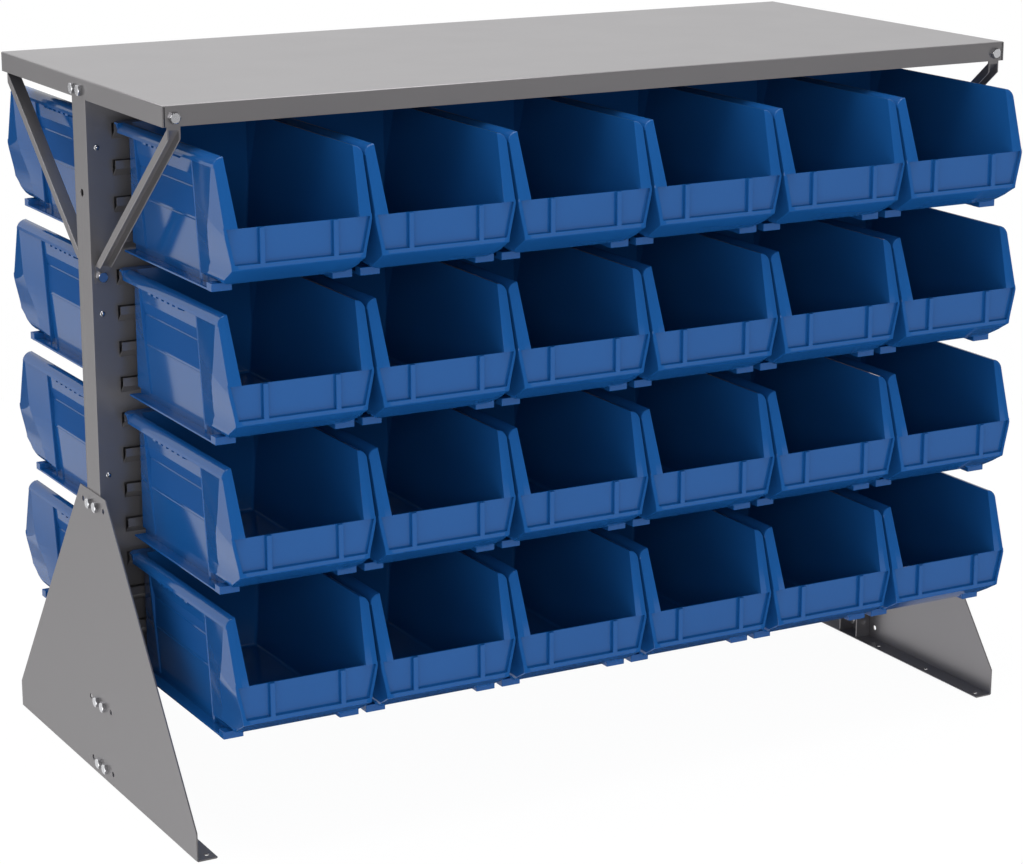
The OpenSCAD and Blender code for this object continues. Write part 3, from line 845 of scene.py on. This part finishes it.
ground = bmesh.new()
bmesh.ops.create_grid(ground, x_segments=1, y_segments=1, size=floor_reach)
ground_mesh = bpy.data.meshes.new("studio_floor")
ground.to_mesh(ground_mesh)
ground.free()
floor = bpy.data.objects.new("studio_floor", ground_mesh)
bpy.context.scene.collection.objects.link(floor)
paint = bpy.data.materials.new("studio_floor")
paint.use_nodes = True
tree = paint.node_tree
floor_shader = tree.nodes["Principled BSDF"]
floor_shader.inputs["Base Color"].default_value = floor_colour
floor_shader.inputs["Roughness"].default_value = floor_roughness
floor_shader.inputs["Specular IOR Level"].default_value = 0.0
floor_shader.inputs["Emission Color"].default_value = white_colour
floor_shader.inputs["Emission Strength"].default_value = floor_glow
white_floor = node_with(tree, "ShaderNodeEmission", Color=white_colour)
clear_floor = node_with(tree, "ShaderNodeBsdfTransparent", Color=white_colour)
floor_place = tree.nodes.new("ShaderNodeTexCoord")
floor_distance = tree.nodes.new("ShaderNodeVectorMath")
floor_distance.operation = "LENGTH"
whiteness = node_with(tree, "ShaderNodeMapRange", From_Min=shadow_near, From_Max=shadow_far,
                      To_Min=1 - shadow_depth, To_Max=1)
path = tree.nodes.new("ShaderNodeLightPath")
seen_white = tree.nodes.new("ShaderNodeMath")
seen_white.operation = "MULTIPLY"
direct_mix = tree.nodes.new("ShaderNodeMixShader")
shine_mix = tree.nodes.new("ShaderNodeMixShader")
link = tree.links.new
link(floor_place.outputs["Object"], floor_distance.inputs[0])
link(floor_distance.outputs["Value"], whiteness.inputs["Value"])
link(whiteness.outputs["Result"], seen_white.inputs[0])
link(path.outputs["Is Camera Ray"], seen_white.inputs[1])
link(seen_white.outputs[0], direct_mix.inputs["Fac"])
link(floor_shader.outputs["BSDF"], direct_mix.inputs[1])
link(white_floor.outputs["Emission"], direct_mix.inputs[2])
link(path.outputs["Is Glossy Ray"], shine_mix.inputs["Fac"])
link(direct_mix.outputs["Shader"], shine_mix.inputs[1])
link(clear_floor.outputs["BSDF"], shine_mix.inputs[2])
link(shine_mix.outputs["Shader"], tree.nodes["Material Output"].inputs["Surface"])
ground_mesh.materials.append(paint)

world = bpy.data.worlds.new("studio")
bpy.context.scene.world = world
world.use_nodes = True
sky = world.node_tree
around = sky.nodes["Background"]
around.inputs["Color"].default_value = white_colour
around.inputs["Strength"].default_value = sky_strength
mirrored_room = node_with(sky, "ShaderNodeBackground", Color=white_colour)
backdrop = node_with(sky, "ShaderNodeBackground", Color=white_colour)
direction = sky.nodes.new("ShaderNodeTexCoord")


def bright_patch(middle, edge, core, strength):
    """A bright part of the mirrored room, around one direction."""
    nearness = sky.nodes.new("ShaderNodeVectorMath")
    nearness.operation = "DOT_PRODUCT"
    nearness.inputs[1].default_value = Vector(middle).normalized()
    patch = node_with(sky, "ShaderNodeMapRange", From_Min=edge, From_Max=core, To_Max=strength)
    sky.links.new(direction.outputs["Generated"], nearness.inputs[0])
    sky.links.new(nearness.outputs["Value"], patch.inputs["Value"])
    return patch


parts = sky.nodes.new("ShaderNodeSeparateXYZ")
leftness = sky.nodes.new("ShaderNodeVectorMath")
leftness.operation = "DOT_PRODUCT"
leftness.inputs[1].default_value = left_side
low_room = node_with(sky, "ShaderNodeMapRange", From_Min=left_from, From_Max=left_full,
                     To_Min=room_behind, To_Max=room_left)
front_patch = bright_patch(front_side, front_edge, front_core, front_shine)
edge_patch = bright_patch(edge_side, edge_from, edge_full, edge_shine)
back_room = node_with(sky, "ShaderNodeMapRange", From_Min=-horizon_blur, From_Max=horizon_blur, To_Max=1)
whole_room = node_with(sky, "ShaderNodeMapRange", From_Min=front_from, From_Max=front_full,
                       To_Min=room_front)
patches = sky.nodes.new("ShaderNodeMath")
patches.operation = "MAXIMUM"
shiny_room = sky.nodes.new("ShaderNodeMath")
shiny_room.operation = "MAXIMUM"
sight = sky.nodes.new("ShaderNodeLightPath")
white_sight = sky.nodes.new("ShaderNodeMath")
white_sight.operation = "MAXIMUM"
shine_or_light = sky.nodes.new("ShaderNodeMixShader")
seen = sky.nodes.new("ShaderNodeMixShader")
link = sky.links.new
link(direction.outputs["Generated"], parts.inputs["Vector"])
link(direction.outputs["Generated"], leftness.inputs[0])
link(leftness.outputs["Value"], low_room.inputs["Value"])
link(parts.outputs["Z"], back_room.inputs["Value"])
link(low_room.outputs["Result"], back_room.inputs["To Min"])
link(parts.outputs["Y"], whole_room.inputs["Value"])
link(back_room.outputs["Result"], whole_room.inputs["To Max"])
link(front_patch.outputs["Result"], patches.inputs[0])
link(edge_patch.outputs["Result"], patches.inputs[1])
link(whole_room.outputs["Result"], shiny_room.inputs[0])
link(patches.outputs[0], shiny_room.inputs[1])
link(shiny_room.outputs[0], mirrored_room.inputs["Strength"])
link(sight.outputs["Is Glossy Ray"], shine_or_light.inputs["Fac"])
link(around.outputs["Background"], shine_or_light.inputs[1])
link(mirrored_room.outputs["Background"], shine_or_light.inputs[2])
link(sight.outputs["Is Camera Ray"], white_sight.inputs[0])
link(sight.outputs["Is Transmission Ray"], white_sight.inputs[1])
link(white_sight.outputs[0], seen.inputs["Fac"])
link(shine_or_light.outputs["Shader"], seen.inputs[1])
link(backdrop.outputs["Background"], seen.inputs[2])
link(seen.outputs["Shader"], sky.nodes["World Output"].inputs["Surface"])


def softbox(name, place, aim, width, height, watts):
    """A soft rectangular lamp turned to a point."""
    lamp = bpy.data.lights.new(name, "AREA")
    lamp.shape = "RECTANGLE"
    lamp.size = width
    lamp.size_y = height
    lamp.energy = watts
    holder = bpy.data.objects.new(name, lamp)
    holder.location = place
    holder.rotation_euler = (Vector(aim) - Vector(place)).to_track_quat("-Z", "Y").to_euler()
    bpy.context.scene.collection.objects.link(holder)


softbox("top_light", place=(-0.4, 0.0, 3.8), aim=(0, 0, 1.0), width=3.4, height=2.6, watts=72)
softbox("front_light", place=(-2.5, -5.0, 1.9), aim=(0, -0.3, 0.5), width=2.0, height=1.6, watts=48)

camera_place = Vector((-2.0173, -3.6494, 1.5450))
camera_aim = Vector((0.0038, 0.0, 0.4311))
lens = bpy.data.cameras.new("photo_view")
lens.sensor_width = 36.0
lens.sensor_fit = "HORIZONTAL"
lens.lens = 100.12
viewer = bpy.data.objects.new("photo_view", lens)
viewer.location = camera_place
viewer.rotation_euler = (camera_aim - camera_place).to_track_quat("-Z", "Y").to_euler()
bpy.context.scene.collection.objects.link(viewer)
bpy.context.scene.camera = viewer
bpy.context.scene.view_settings.view_transform = "Standard"
